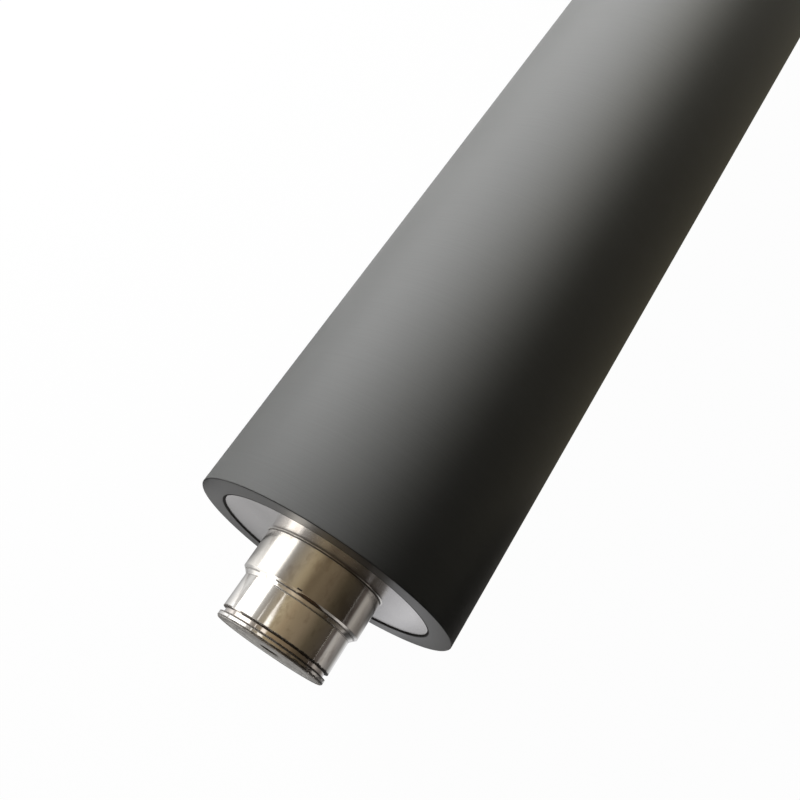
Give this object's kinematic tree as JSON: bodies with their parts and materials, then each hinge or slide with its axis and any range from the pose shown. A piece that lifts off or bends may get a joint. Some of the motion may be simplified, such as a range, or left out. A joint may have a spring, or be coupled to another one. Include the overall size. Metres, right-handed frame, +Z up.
{
  "type": "rubber printing roller",
  "caption": "Long cylindrical roller with a thick rubber cover bonded to a turned steel core, and a stepped bearing journal with a retaining ring groove at each end.",
  "frame": {"origin": "middle of the roller, on its axis", "axes": "+Y along the roller's axis; the end that the picture shows is the -Y end; +Z up as the roller lies level"},
  "size_m": [0.1219, 0.8778, 0.122],
  "materials": {
    "rubber": "matt, finely ground",
    "steel": "turned faces, ground journals"
  },
  "bodies": {
    "root": {"rubber_cover": "rubber", "roller_core": "steel"}
  },
  "joints": []
}
